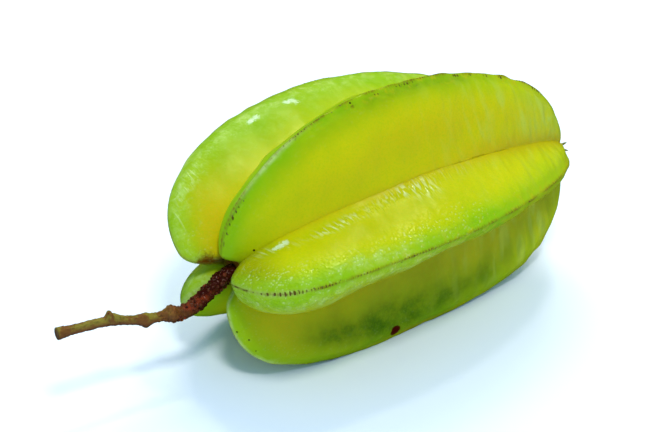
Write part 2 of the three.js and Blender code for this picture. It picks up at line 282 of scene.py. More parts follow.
def swells(points, size, seed, count=26):
    """Smooth uneven field of about unit height, with waves of about the given size"""
    random = np.random.default_rng(seed)
    lines = random.normal(size=(count, points.shape[-1]))
    lines /= np.linalg.norm(lines, axis=1)[:, None]
    lines *= (2 * math.pi / size * random.uniform(0.7, 1.5, count))[:, None]
    field = np.zeros(points.shape[:-1])
    for line, phase in zip(lines, random.uniform(0, 2 * math.pi, count)):
        field += np.sin(points @ line + phase)
    return field / math.sqrt(count / 2)


def ring_normals(grid):
    """Outward directions of a tube of rings"""
    along = np.gradient(grid, axis=0)
    around = np.roll(grid, -1, axis=1) - np.roll(grid, 1, axis=1)
    normal = np.cross(around, along)
    return normal / (np.linalg.norm(normal, axis=2, keepdims=True) + 1e-12)


def tube_mesh(name, grid, first=None, last=None):
    """Mesh of a tube of rings, closed at each end by a middle point"""
    rows, columns = grid.shape[:2]
    index = np.arange(rows * columns).reshape(rows, columns)
    a, b = index[:-1], np.roll(index, -1, axis=1)[:-1]
    c, d = np.roll(index, -1, axis=1)[1:], index[1:]
    faces = np.stack([a, b, c, d], -1).reshape(-1, 4).tolist()
    start, end = rows * columns, rows * columns + 1
    turn = np.roll(np.arange(columns), -1)
    faces += [[start, int(j), int(i)] for i, j in zip(index[0], index[0][turn])]
    faces += [[end, int(i), int(j)] for i, j in zip(index[-1], index[-1][turn])]
    middle = [grid[0].mean(0) if first is None else first, grid[-1].mean(0) if last is None else last]
    mesh = bpy.data.meshes.new(name)
    mesh.from_pydata(np.concatenate([grid.reshape(-1, 3), middle]).tolist(), [], faces)
    mesh.polygons.foreach_set("use_smooth", np.ones(len(mesh.polygons), bool))
    mesh.update()
    return mesh


def paint(mesh, name, values, ends=(0.0, 0.0)):
    """A number for each point of a tube mesh"""
    data = np.concatenate([np.asarray(values, dtype=np.float32).ravel(), np.float32(ends)])
    mesh.attributes.new(name, "FLOAT", "POINT").data.foreach_set("value", data)


def add_piece(name, mesh, material):
    piece = bpy.data.objects.new(name, mesh)
    bpy.context.scene.collection.objects.link(piece)
    mesh.materials.clear()
    mesh.materials.append(material)
    return piece


def bell(value, middle, run):
    return np.exp(-((value - middle) / run) ** 2)


def ramp(value, run, low=0, high=1):
    """Straight climb that ends at a low and a high level"""
    return np.clip(value / run, low, high)


def per_rib(rib, values):
    return np.choose(rib.astype(int), values)


# One value for each rib: how far the green reaches from the crest, green of the flanks, strength of the crest line,
# of the pebbled grain with its painted sparkles and of the pinch beside the crest
GREEN_REACH = (0.0050, 0.0052, 0.0060, 0.0070, 0.0110)
GREEN_FLANK = (0.03, 0.08, 0.15, 0.33, 0.44)
CREST_LINE = (1.8, 1.7, 1.4, 1.2, 1.6)
PEBBLES = (0.06, 1.0, 0.2, 0.2, 0.35)
PINCHED = (1.0, 0.5, 0.6, 0.5, 0.6)

# Marks on the skin, for a rib and a side (0 is both): place along the axis, distance from the crest,
# run along, run across and strength. Lengths are in millimetres.

CREST_WEAR = {
    (FRONT, 0): ((-5, 0.1, 3.2, 0.3, 0.66), (-0.5, 0.1, 4.6, 0.5, 1), (7.5, 0.1, 4.5, 0.3, 0.85),
        (18, 0.1, 6, 0.3, 0.62), (33, 0.1, 8, 0.3, 0.66), (62, 0.1, 12, 0.3, 0.52),
        (84, 0.1, 8, 0.3, 0.52)),
    (TOP, 1): ((-0.6, 0.9, 3.4, 0.36, 0.86), (41.7, 1.3, 1.2, 0.5, 0.9), (51.1, 0.7, 3.6, 0.5, 0.9),
        (67.4, 0.6, 1.9, 0.5, 1.2), (72, 0.5, 0.8, 0.4, 1.2), (77.3, 0.7, 0.8, 0.6, 1.1),
        (82.4, 0.6, 0.8, 0.5, 1.05), (95, 0.5, 2.4, 0.5, 1.1)),
    (TOP, 0): ((20, 0.1, 9, 0.3, 0.7), (58, 0.1, 7, 0.3, 0.78), (90, 0.1, 8, 0.3, 0.78)),
    (BACK, 0): ((14, 0.2, 12, 0.35, 0.78), (50, 0.2, 18, 0.4, 0.76), (90, 0.2, 6, 0.4, 0.7)),
    (LOW_FRONT, 0): ((48, 0.2, 20, 0.4, 0.52),),
    (LOW_BACK, 0): ((6, 0.2, 9, 0.4, 0.6), (66, 0.2, 14, 0.4, 0.6)),
}

SPOTS = {
    (TOP, 1): ((34.9, 1.9, 2.4, 0.9, 0.64),),
    (BACK, -1): ((30, 14, 0.35, 0.35, 0.9), (66, 9, 0.45, 0.4, 0.9)),
    (LOW_BACK, 1): ((22, 12, 0.4, 0.4, 0.9),),
}

# Broad patches, for a rib and a side: place along the axis in millimetres, share of the way from crest to
# furrow, run along in millimetres, run across as a share and strength

# Painted shade: deep green patches on the rib undersides, beside crests and near the stem
SHADE_PATCHES = {
    (LOW_FRONT, -1): ((20, 0.34, 9, 0.18, 0.75), (36, 0.32, 12, 0.22, 1), (52, 0.32, 12, 0.2, 0.95),
        (68, 0.32, 9, 0.18, 0.5)),
    (LOW_FRONT, 1): ((40, 0.5, 30, 0.35, 0.75),),
    (LOW_BACK, -1): ((45, 0.5, 30, 0.35, 0.75),),
    (LOW_BACK, 1): ((50, 0.35, 20, 0.25, 0.5),),
    (FRONT, 1): ((30, 0.22, 30, 0.16, 0.22),),
    (BACK, 1): ((30, 0.38, 40, 0.25, 0.14),),
    (TOP, 1): ((0.5, 0.04, 4.5, 0.02, 0.75), (55, 0.08, 26, 0.07, 0.52), (25, 0.16, 32, 0.12, 0.2)),
    (FRONT, -1): ((-2.4, 0.37, 4, 0.25, 0.3), (2, 0.85, 7, 0.25, 0.22)),
}

# Pale mottling, and painted light on the back rib by the stem, along the lower front crest and on the shaded lower
# back rib
MINT_AND_SHEEN_PATCHES = {
    (BACK, 1): ((18, 0.14, 18, 0.1, 0.6), (45, 0.18, 20, 0.12, 0.65), (-2, 0.14, 8, 0.12, 0.9),
        (75, 0.2, 20, 0.14, 0.6), (25, 0.45, 20, 0.12, 0.3)),
    (FRONT, 1): ((6, 0.22, 14, 0.16, 0.9), (32, 0.12, 20, 0.1, 0.7)),
    (FRONT, -1): ((22, 0.12, 20, 0.09, 0.75),),
    (LOW_FRONT, 0): ((-2, 0.03, 9, 0.03, 0.8),),
    (LOW_BACK, 1): ((10, 0.25, 18, 0.2, 0.8), (-6, 0.3, 8, 0.3, 0.6)),
    (TOP, 1): ((98, 0.55, 10, 0.35, 0.5),),
}

# Line of the crosswise glints on the front rib: place along and distance from the furrow
GLINT_ALONG = [0.004, 0.007, 0.010, 0.0185, 0.0285, 0.038, 0.050]
GLINT_RISE = [0.0033, 0.0055, 0.0062, 0.0068, 0.0055, 0.0030, 0.0023]

# Clumps of the same glints elsewhere
CLUMP_PATCHES = {
    (BACK, 1): ((-1.7, 0.18, 6, 0.07, 0.9),),
    (FRONT, -1): ((46.5, 0.76, 3.5, 0.1, 1.2), (41, 0.84, 3, 0.06, 1)),
}

GLOSS_PATCHES = {
    (BACK, 1): ((-1.7, 0.18, 6, 0.07, 0.9), (-2, 0.16, 7, 0.14, 0.9)),
    (FRONT, -1): ((30, 0.16, 34, 0.14, 0.9),),
    (FRONT, 1): ((0, 0.05, 10, 0.08, 0.8),),
    (TOP, 0): ((14, 0.02, 12, 0.05, 0.9),),
    (LOW_BACK, 1): ((-4, 0.2, 10, 0.2, 0.9),),
    (LOW_FRONT, 0): ((-2, 0.03, 10, 0.05, 0.7),),
}

# Painted highlights: pale thin lines along the crests
RIDGE_HIGHLIGHT_PATCHES = {
    (TOP, 0): ((11, 0, 7, 1, 0.9),),
    (FRONT, 0): ((-3, 0, 6, 1, 0.35),),
    (LOW_FRONT, 0): ((-1, 0, 9, 1, 0.8),),
    (LOW_BACK, 0): ((-4, 0, 9, 1, 0.8),),
    (BACK, 0): ((4, 0, 14, 1, 0.5),),
}

OLIVE_PATCHES = {
    (FRONT, -1): ((36, 0.55, 20, 0.22, 0.42), (18, 0.45, 10, 0.22, 0.3), (-3.5, 0.55, 4.5, 0.35, 0.9)),
    (BACK, 1): ((14, 0.45, 18, 0.3, 0.3),),
}

AMBER_PATCHES = {
    (BACK, 1): ((16, 0.7, 14, 0.12, 0.35), (-1, 0.6, 9, 0.35, 1)),
    (FRONT, -1): ((-3, 0.7, 6, 0.4, 0.6),),
    (TOP, 1): ((55, 0.55, 34, 0.25, 0.65), (70, 0.86, 22, 0.1, 0.5)),
    (LOW_FRONT, -1): ((6, 0.45, 14, 0.3, 0.45), (14, 0.8, 26, 0.16, 0.6), (66, 0.7, 14, 0.16, 0.4),
        (48, 0.04, 22, 0.05, 0.6)),
    (LOW_BACK, 1): ((-4, 0.55, 12, 0.3, 0.4),),
}

# Small black dots: place and radius
DOTS = (
    ((-0.02684, -0.00796, 0.03575), 0.00042), ((-0.03143, -0.01184, 0.01355), 0.00028),
    ((-0.03340, -0.00960, 0.01547), 0.00030), ((-0.02998, -0.01264, 0.01017), 0.00024),
    ((0.00451, -0.00433, 0.06448), 0.00034),
)

# Painted highlights: whitish dabs in place of glints, place and radius
GLINT_DABS = (
    ((0.00829, 0.02507, 0.05139), 0.0027), ((0.00650, 0.02545, 0.05120), 0.0020),
    ((-0.00308, 0.02529, 0.05023), 0.0018), ((-0.00430, 0.02510, 0.05000), 0.0016),
    ((-0.00528, 0.02479, 0.04971), 0.0016),
    ((-0.02280, -0.01315, 0.03799), 0.0021), ((-0.02144, -0.01332, 0.03843), 0.0018),
    ((-0.02417, -0.01301, 0.03757), 0.0015),
)

SCAB_PLACE = Vector((0.0102, -0.0165, 0.0026))
STAIN_PLACE = Vector((-0.0345, 0.0018, 0.0302))


def patches(table, rib, side, along, share):
    field = np.zeros(along.shape)
    for (patch_rib, patch_side), rows in table.items():
        here = (rib == patch_rib) & ((side == patch_side) | (patch_side == 0))
        for x, place, run, breadth, strength in rows:
            field += np.where(here, strength * bell(along / MM, x, run) * bell(share, place, breadth), 0)
    return np.clip(field, 0, 1)


def marks(table, rib, side, along, across):
    field = np.zeros(along.shape)
    for (mark_rib, mark_side), rows in table.items():
        here = (rib == mark_rib) & ((side == mark_side) | (mark_side == 0))
        for x, place, run, breadth, strength in rows:
            spot = strength * bell(along / MM, x, run) * bell(across / MM, place, breadth)
            field = np.maximum(field, np.where(here, spot, 0))
    return field


def near(points, place, run):
    return np.exp(-(np.linalg.norm(points - np.array(place), axis=-1) / run) ** 2)


def calm(across, rise):
    """Share that is low on the crests and in the furrows"""
    return ramp(across, 0.004, 0.15) * ramp(rise, 0.003)


def uneven_line(rib, along):
    """Uneven strength of the crest lines"""
    return swells(np.stack([along + RIB_SHIFT * rib, 0 * along], -1), 0.007, 17)


def skin_relief(s, grid, facts):
    """Height of the skin's fine forms over the smooth body"""
    rib, side, along, across, rise = np.moveaxis(facts, -1, 0)
    flow = np.stack([along + RIB_SHIFT * rib, side * across * 0.45, 0 * along], -1)
    quiet = calm(across, rise)
    height = s.ripple * (0.8 * swells(grid, 0.022, 4) + 0.5 * quiet * swells(flow, 0.0065, 9))
    height += s.ripple * 0.45 * quiet * swells(flow, 0.0030, 12) * ramp(along - 0.02, 0.05, 0.2)
    height += s.seam_height * bell(across, 0, 0.00035) * (1 + 0.45 * uneven_line(rib, along))
    height += s.furrow_fill * bell(rise, 0, 0.0030) * ramp(0.085 - along, 0.03, 0.15) * ramp(along + 0.004, 0.02)
    height -= s.pinch * bell(across, 0.0016, 0.0010) * per_rib(rib, PINCHED)
    height -= 0.00035 * near(grid, SCAB_PLACE, 0.0016)
    return height * ramp(along + 0.004, 0.008, 0.3)


def paint_skin(mesh, grid, facts):
    """The numbers that the skin's material reads"""
    rib, side, along, across, rise = np.moveaxis(facts, -1, 0)
    share = across / (across + rise + 1e-9)
    place = rib, side, along, share
    rim = 0.9 * bell(across, 0, per_rib(rib, GREEN_REACH)) * (1 - 0.55 * ramp(along - 0.060, 0.03))
    stem_end = 0.45 * np.clip(0.4 - along / 0.016, 0, 1)
    paint(mesh, "green", np.clip(per_rib(rib, GREEN_FLANK) + rim + stem_end, 0, 1))
    paint(mesh, "deep", patches(SHADE_PATCHES, *place))
    paint(mesh, "mint_and_sheen", patches(MINT_AND_SHEEN_PATCHES, *place))
    paint(mesh, "gloss", patches(GLOSS_PATCHES, *place))
    furrow = 0.9 * bell(rise, 0, 0.0026) * ramp(along + 0.002, 0.02, 0.2)
    paint(mesh, "amber", np.clip(furrow + patches(AMBER_PATCHES, *place), 0, 1))
    under = ((rib == FRONT) & (side > 0)) | (rib == LOW_FRONT)
    shade = np.where(under, ramp(share - 0.3, 0.4), 0) * np.clip(0.3 + along / 0.03, 0, 1)
    paint(mesh, "olive", shade + patches(OLIVE_PATCHES, *place))
    broken = np.clip(0.75 + 0.25 * uneven_line(rib, along), 0, 1)
    paint(mesh, "seam", bell(across, 0, 0.00045) * broken * per_rib(rib, CREST_LINE))
    paint(mesh, "rim", bell(across, 0, 0.0030) * ramp(along - 0.012, 0.03))
    # Painted shade: a dark noisy band on the sheltered lower front flank
    sheltered = (rib == LOW_FRONT) & (side < 0)
    paint(mesh, "shade_band", np.where(sheltered, bell(share, 0.40, 0.30), 0) * ramp(along - 0.040, 0.03))
    paint(mesh, "streak", ramp(along - 0.045, 0.045) * calm(across, rise) * np.where(rib == FRONT, 0.45, 1.0))
    # Band of crinkles beside the front furrow, which also carries painted glint strokes
    line = bell(rise, np.interp(along, GLINT_ALONG, GLINT_RISE), 0.0016) * bell(along, 0.028, 0.026)
    line = line * ramp(along + 0.001, 0.004) * (1.2 - bell(along, 0.0120, 0.0030))
    strokes = np.where((rib == FRONT) & (side < 0), line, 0) + 0.7 * patches(CLUMP_PATCHES, *place)
    paint(mesh, "crinkle_and_glint", np.clip(strokes, 0, 1.4))
    # Pebbled grain, which also carries painted sparkle specks
    grained = bell(across, 0.0042, 0.0040) * ramp(0.064 - along, 0.016, 0.1)
    paint(mesh, "pebble_and_sparkle", per_rib(rib, PEBBLES) * grained + 0.04)
    # Painted highlight along the crests
    paint(mesh, "ridge", bell(across, 0.0003, 0.0005) * patches(RIDGE_HIGHLIGHT_PATCHES, rib, 0 * side, along, 0 * share))
    paint(mesh, "wear", marks(CREST_WEAR, rib, side, along, across) * (grid[..., 2] > 0.0008))
    paint(mesh, "spot", marks(SPOTS, rib, side, along, across))
    paint(mesh, "stain", near(grid, STAIN_PLACE, 0.0042))
    paint(mesh, "scab", near(grid, SCAB_PLACE, 0.0021))
    flank_map(mesh, grid.shape[:2], along + RIB_SHIFT * rib, side * across)


class STARFRUIT_OT_skin(bpy.types.Operator):
    """Fruit: the ribbed body with its skin"""
    bl_idname = "starfruit.skin"
    bl_label = "Fruit Skin"

    def execute(self, context):
        s = context.scene.starfruit_fruit
        grid, facts = fruit_surface(s)
        grid = grid + ring_normals(grid) * skin_relief(s, grid, facts)[..., None]
        grid[..., 2] = np.maximum(grid[..., 2], 0)
        axis = np.array((-s.middle[0], -s.middle[1], s.axis_height))
        mesh = tube_mesh(
            "fruit_skin", grid, axis + (s.cavity_depth, 0, 0), axis + (s.fruit_length - s.tip_dip, 0, 0))
        paint_skin(mesh, grid, facts)
        from_axis = np.linalg.norm((grid - axis)[..., 1:], axis=-1)
        # Painted shade: share that darkens the stem cavity
        paint(mesh, "cavity", np.clip(1 - from_axis / 0.006, 0, 1) * (facts[..., 2] < 0.004), (1.0, 0.0))
        piece = add_piece("fruit_skin", mesh, skin_material(context.scene.starfruit_skin))
        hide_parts("fruit")
        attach(piece, "root")
        return {"FINISHED"}


def flank_map(mesh, shape, along, across):
    """UV map in tenths of a metre: u along the fruit and v from the crest"""
    count = shape[0] * shape[1]
    flat = np.zeros((count + 2, 2), np.float32)
    flat[:count, 0] = along.ravel() * 10
    flat[:count, 1] = across.ravel() * 10
    corners = np.zeros(len(mesh.loops), np.int32)
    mesh.loops.foreach_get("vertex_index", corners)
    layer = mesh.uv_layers.new(name="Flank")
    layer.data.foreach_set("uv", flat[corners].ravel())


# Materials

class Tree:
    """Short calls for building a node tree"""

    def __init__(self, tree):
        self.tree = tree

    def put(self, socket, value):
        if isinstance(value, bpy.types.NodeSocket):
            self.tree.links.new(value, socket)
        elif value is not None:
            socket.default_value = value

    def add(self, kind, inputs=(), **settings):
        node = self.tree.nodes.new(kind)
        for key, value in settings.items():
            setattr(node, key, value)
        for key, value in dict(inputs).items():
            self.put(node.inputs[key], value)
        return node

    def math(self, operation, a, b=None, c=None, clamp=False):
        node = self.add("ShaderNodeMath", operation=operation, use_clamp=clamp)
        for socket, value in zip(node.inputs, (a, b, c)):
            self.put(socket, value)
        return node.outputs[0]


class Nodes(Tree):
    """Short calls for building a material's node tree"""

    def __init__(self, name):
        self.material = bpy.data.materials.new(name)
        self.material.use_nodes = True
        super().__init__(self.material.node_tree)
        self.tree.nodes.clear()
        self.shader = self.add("ShaderNodeBsdfPrincipled")
        self.add("ShaderNodeOutputMaterial", {0: self.shader.outputs[0]})

    def number(self, name):
        return self.add("ShaderNodeAttribute", attribute_name=name).outputs["Fac"]

    def times(self, *factors):
        """Product of numbers, sockets and named attributes of the mesh"""
        values = [self.number(each) if isinstance(each, str) else each for each in factors]
        product = values[0]
        for value in values[1:]:
            product = self.math("MULTIPLY", product, value)
        return product

    def lay(self, tint, *shares):
        """Lays a colour over the base, as strong as the product of the shares"""
        self.base = self.mix(self.times(*shares), self.base, tint)

    def span(self, value, low, high, to_low=0.0, to_high=1.0):
        node = self.add("ShaderNodeMapRange", {0: value, 1: low, 2: high, 3: to_low, 4: to_high}, clamp=True)
        node.interpolation_type = "SMOOTHSTEP"
        return node.outputs[0]

    def mix(self, share, a, b, blend="MIX"):
        node = self.add("ShaderNodeMix", data_type="RGBA", blend_type=blend, clamp_factor=True)
        self.put(node.inputs[0], share)
        self.put(node.inputs[6], tuple(a) + (1,) if len_of(a) == 3 else a)
        self.put(node.inputs[7], tuple(b) + (1,) if len_of(b) == 3 else b)
        return node.outputs[2]

    def place(self, kind="Object", scale=(1, 1, 1), turn=(0, 0, 0)):
        if kind == "Flank":
            source = self.add("ShaderNodeUVMap", uv_map="Flank").outputs[0]
        else:
            source = self.add("ShaderNodeTexCoord").outputs[kind]
        return self.add("ShaderNodeMapping", {"Vector": source, "Scale": scale, "Rotation": turn}).outputs[0]

    def noise(self, where, scale, detail=3.0, rough=0.55, twist=0.0):
        inputs = {"Vector": where, "Scale": scale, "Detail": detail, "Roughness": rough, "Distortion": twist}
        return self.add("ShaderNodeTexNoise", inputs).outputs["Fac"]

    def fibres(self, along, across, detail=2.0, rough=0.5, twist=0.0):
        """Noise drawn out over the piece's own flank map"""
        return self.noise(self.place("Flank", (along, across, 1)), 1.0, detail, rough, twist)

    def cells(self, where, scale, feature="F1", spread=1.0):
        inputs = {"Vector": where, "Scale": scale, "Randomness": spread}
        return self.add("ShaderNodeTexVoronoi", inputs, feature=feature).outputs["Distance"]

    def bump(self, height, distance, strength=1.0, below=None):
        node = self.add("ShaderNodeBump", {"Height": height, "Distance": distance, "Strength": strength})
        if below is not None:
            self.put(node.inputs["Normal"], below)
        return node.outputs[0]

    def dot(self, where, place, radius, twist=None, ragged=0.6):
        """1 inside a small round spot about a place, 0 outside"""
        far = self.add("ShaderNodeVectorMath", {0: where, 1: place}, operation="DISTANCE").outputs["Value"]
        if twist is not None:
            far = self.math("ADD", far, self.times(twist, ragged * radius))
        return self.span(far, 0.9 * radius, 1.3 * radius, 1.0, 0.0)

    def surface(self, **values):
        for key, value in values.items():
            self.put(self.shader.inputs[key.replace("_", " ")], value)


def len_of(value):
    return len(value) if hasattr(value, "__len__") else 0


def scaled(tint, factor):
    return tuple(factor * v for v in tint)


def skin_material(c):
    g = Nodes("waxy_skin")
    space = g.place("Object")
    cloud = g.noise(space, 60, 3, 0.6)
    patch = g.noise(space, 150, 4, 0.65)
    mottle = g.noise(space, 430, 4, 0.6, 0.6)
    grain = g.noise(space, 1900, 2, 0.5)
    crack = g.noise(space, 900, 4, 0.6, 1.2)
    pores = g.cells(space, 1350, "SMOOTH_F1")
    hatch = g.fibres(250, 40)
    wrinkle = g.fibres(125, 30, 1, 0.5, 0.4)

    green = g.math("ADD", g.number("green"), g.span(cloud, 0.35, 0.75, -0.14, 0.22), clamp=True)
    g.base = g.mix(green, c.yellow, c.green)
    g.lay(c.olive, "olive", g.span(patch, 0.3, 0.7, 0.5, 0.95))
    g.lay(c.amber, "amber", g.span(patch, 0.3, 0.7, 0.82, 1.0))
    # Painted shade in deep green
    g.lay(c.shade_green, "deep", g.span(patch, 0.28, 0.7, 0.55, 1.0))
    # Pale mottling and painted light
    g.lay(c.mint_and_sheen, "mint_and_sheen", g.span(mottle, 0.40, 0.66, 0.15, 0.95))
    g.lay(c.pale, "streak", g.span(g.fibres(34, 10, 2, 0.5, 0.5), 0.48, 0.68), 0.5)
    # Painted shade: deep green band on the lower front flank
    g.lay(c.shade_green, "shade_band", g.span(g.fibres(24, 6, 2, 0.5, 0.8), 0.36, 0.62, 1.0, 0.0), 0.32)
    g.lay(c.amber, "rim", g.span(mottle, 0.50, 0.66), 0.45)
    g.lay(c.green, g.span(grain, 0.40, 0.75, 0.0, 0.24))
    g.lay(c.seam, "seam", g.span(hatch, 0.35, 0.62, 0.12, 0.60))

    # Painted highlights: pale specks on the pebbled grain and pale crosswise strokes, in place of glints
    g.lay(c.glint, g.span(pores, 0.16, 0.36, 1.0, 0.0), "pebble_and_sparkle", g.span(mottle, 0.42, 0.60, 0.1, 1.0), 0.30)
    stroke = g.times("crinkle_and_glint", g.times(g.span(wrinkle, 0.50, 0.62), g.span(cloud, 0.38, 0.58, 0.25, 1.0)))
    g.lay(c.glint, stroke, 0.60)
    # Painted highlight: pale line along the crests
    g.lay(c.ridge_highlight, "ridge", g.span(mottle, 0.35, 0.6, 0.35, 0.9))

    # Corky wear on the crests, in crosswise ticks
    run = g.add("ShaderNodeSeparateXYZ", {0: g.place("Flank")}).outputs[0]
    beat = g.math("SINE", g.math("ADD", g.times(run, 735.0), g.times(g.fibres(60, 5), 9.0)))
    ticks = g.times(g.span(beat, 0.0, 0.9, 0.58, 1.15), g.span(hatch, 0.32, 0.62, 0.60, 1.18))
    worn = g.span(g.times("wear", ticks), 0.44, 0.70)
    g.lay(c.brown, worn, 0.92)

    # Spots, dots, painted highlight dabs, stain and scab, and painted shade in the stem cavity
    g.lay(c.brown, g.span(g.times("spot", g.span(mottle, 0.36, 0.60, 0.6, 1.15)), 0.35, 0.75), 0.8)
    for place, radius in DOTS:
        g.lay(scaled(c.brown, 0.35), g.dot(space, place, radius, mottle))
    # Painted highlights: whitish dabs in place of glints
    for place, radius in GLINT_DABS:
        g.lay(c.glint_dab, g.dot(space, place, radius, crack, 1.3), 0.62)
    g.lay(c.russet, g.span(g.math("ADD", g.number("stain"), g.times(crack, 0.7)), 0.80, 1.25))
    g.lay(c.scab, g.span(g.math("ADD", g.number("scab"), g.times(crack, 0.3)), 0.62, 0.78))
    # Painted shade: russet in the stem cavity
    g.lay(c.russet, g.span(g.number("cavity"), 0.1, 0.5))

    normal = g.bump(g.noise(space, 210, 2, 0.5), 0.0006, 0.30)
    normal = g.bump(g.times(wrinkle, "crinkle_and_glint"), 0.00055, 1.0, normal)
    normal = g.bump(g.times(pores, "pebble_and_sparkle"), 0.00026, 1.0, normal)
    normal = g.bump(worn, 0.00012, 0.6, normal)
    sheen = g.math("MAXIMUM", g.times("gloss", g.span(patch, 0.36, 0.60, 0.35, 1.0)), stroke)
    rough = g.math("ADD", g.span(sheen, 0.05, 0.85, 0.30, 0.11), g.times(worn, 0.3))
    g.surface(Base_Color=g.base, Roughness=rough, IOR=1.40, Specular_IOR_Level=0.36,
              Specular_Tint=(1.0, 1.0, 0.32, 1.0), Subsurface_Weight=0.12,
              Subsurface_Radius=(1.0, 0.9, 0.15), Subsurface_Scale=0.004, Normal=normal)
    return g.material


def bark_material(c):
    g = Nodes("stem_bark")
    along = g.number("along")
    patch = g.noise(g.place("Object"), 330, 4, 0.6)
    fine = g.noise(g.place("Object"), 1500, 4, 0.65)
    stripe = g.fibres(30, 260, 4, 0.6)
    g.base = g.mix(g.span(along, 0.20, 0.40), c.root_colour, c.bark_colour)
    near_root = g.times(g.span(along, 0.10, 0.16), g.span(along, 0.30, 0.55, 1.0, 0.35))
    g.lay(c.warm_colour, g.span(patch, 0.42, 0.66), "upper", near_root)
    g.lay(c.green_colour, "upper", g.span(along, 0.34, 0.50), g.span(patch, 0.42, 0.56, 0.10, 1.0))
    g.lay(scaled(c.bark_colour, 0.35), g.span(stripe, 0.5, 0.68, 0.0, 0.55))
    g.lay(c.wart_colour, g.span(fine, 0.55, 0.75, 0.0, 0.30))
    # Painted shade: the underside of the stem darker
    g.lay(scaled(c.bark_colour, 0.25), "under", 0.65)
    # Painted highlights: bright specks on the upper side near the fruit
    g.lay(c.shine_colour, g.span(fine, 0.58, 0.68), g.times("upper", g.span(along, 0.08, 0.40, 0.65, 0.0)))
    g.lay(c.cut_colour, "cut")
    normal = g.bump(fine, 0.00016, 0.6, g.bump(stripe, 0.00030, 0.6))
    g.surface(Base_Color=g.base, Roughness=g.span(along, 0.18, 0.45, 0.20, 0.62), Normal=normal, IOR=1.48,
              Specular_IOR_Level=0.3)
    return g.material


def wart_material(c):
    g = Nodes("corky_warts")
    fine = g.noise(g.place("Object"), 1900, 3, 0.6)
    patch = g.noise(g.place("Object"), 300, 3, 0.6)
    g.base = g.mix(g.span(fine, 0.35, 0.7), c.root_colour, c.wart_colour)
    g.lay(c.warm_colour, g.span(patch, 0.45, 0.65, 0.0, 0.8))
    g.surface(Base_Color=g.base, Roughness=0.30, Normal=g.bump(fine, 0.0001, 0.5))
    return g.material


def fleck_material(c):
    g = Nodes("crest_flecks")
    fine = g.noise(g.place("Object"), 2600, 3, 0.6)
    base = g.mix(g.span(fine, 0.3, 0.7), c.brown, c.cork)
    g.surface(Base_Color=base, Roughness=0.6, Normal=g.bump(fine, 0.00005, 0.4))
    return g.material


def style_material(c):
    g = Nodes("dried_style")
    fine = g.noise(g.place("Object"), 1400, 4, 0.6)
    base = g.mix(g.span(fine, 0.35, 0.7), c.style_brown, c.style_green)
    g.surface(Base_Color=base, Roughness=0.6, Normal=g.bump(fine, 0.0001, 0.5))
    return g.material


def floor_material(c):
    g = Nodes("pale_floor")
    mottle = g.noise(g.place("Object"), 3.0, 2, 0.5)
    base = g.mix(g.span(mottle, 0.3, 0.7), c.floor_colour, scaled(c.floor_colour, 1.015))
    g.surface(Base_Color=base, Roughness=0.55, Specular_IOR_Level=0.25)
    return g.material


# Styles at the tip

class STARFRUIT_OT_styles(bpy.types.Operator):
    """Styles: the dried threads left at the tip"""
    bl_idname = "starfruit.styles"
    bl_label = "Dried Styles"

    def execute(self, context):
        s = context.scene.starfruit_fruit
        random = np.random.default_rng(5)
        middle = np.array((s.fruit_length - s.tip_dip - s.middle[0], -s.middle[1], s.axis_height))
        grids, rows, sides = [], 10, 10
        for index in range(RIB_COUNT):
            turn = 2 * math.pi * (index + 0.5) / RIB_COUNT
            out = np.array((0.0, -math.sin(turn), math.cos(turn)))
            across = np.array((0.0, -math.cos(turn), -math.sin(turn)))
            reach = random.uniform(0.0024, 0.0030)
            path = []
            for step in range(rows + 1):
                t = step / rows
                lift = -0.0010 + t * (reach + 0.0010)
                lean = 0.0009 + 0.0012 * t * t + 0.0002 * math.sin(5 * t + index)
                radius = 0.00052 * (1 - t) ** 0.5 + 0.00008
                centre = middle + np.array((lift, 0, 0)) + out * lean
                ring = [centre + radius * (math.cos(v) * out + math.sin(v) * across)
                        for v in np.linspace(0, 2 * math.pi, sides, endpoint=False)]
                path.append(ring)
            grids.append(np.array(path))
        meshes = [tube_mesh("style", grid) for grid in grids]
        piece = joined("tip_styles", meshes, style_material(context.scene.starfruit_skin))
        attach(piece, "root")
        return {"FINISHED"}


def joined(name, meshes, material):
    """One piece out of several meshes"""
    points, faces = [], []
    for mesh in meshes:
        shift = len(points)
        points += [v.co[:] for v in mesh.vertices]
        faces += [[i + shift for i in p.vertices] for p in mesh.polygons]
        bpy.data.meshes.remove(mesh)
    whole = bpy.data.meshes.new(name)
    whole.from_pydata(points, [], faces)
    whole.polygons.foreach_set("use_smooth", np.ones(len(whole.polygons), bool))
    whole.update()
    return add_piece(name, whole, material)


# Stem

STEM_LINE = (
    (-0.0014, 0.0001, -0.0005), (-0.0048, 0.0005, -0.0029), (-0.0076, 0.0008, -0.0048),
    (-0.0104, 0.0010, -0.0065), (-0.0134, 0.0013, -0.0073), (-0.0167, 0.0017, -0.0073),
    (-0.0200, 0.0020, -0.0067), (-0.0240, 0.0024, -0.0062), (-0.0317, 0.0032, -0.0039),
    (-0.0360, 0.0036, -0.0032), (-0.0466, 0.0047, -0.0026),
)

# Swellings: place along, direction round, height, run and how narrow
STEM_KNOTS = (
    (-0.0125, 270, 0.00035, 0.0018, 1), (-0.0170, 90, 0.0013, 0.0015, 1), (-0.0160, 270, 0.0004, 0.0018, 1),
    (-0.0236, 270, 0.0010, 0.0012, 2), (-0.0240, 90, 0.0007, 0.0013, 2), (-0.0318, 90, 0.0006, 0.0013, 2),
    (-0.0333, 90, 0.0015, 0.0007, 4), (-0.0466, 0, 0.0004, 0.0022, 0),
)
STEM_STEPS = 420
STEM_SIDES = 56
STEM_LENGTH = 0.053
BARK_REACH = 0.0022  # turns the direction round the stem into a length, for the bark's pattern


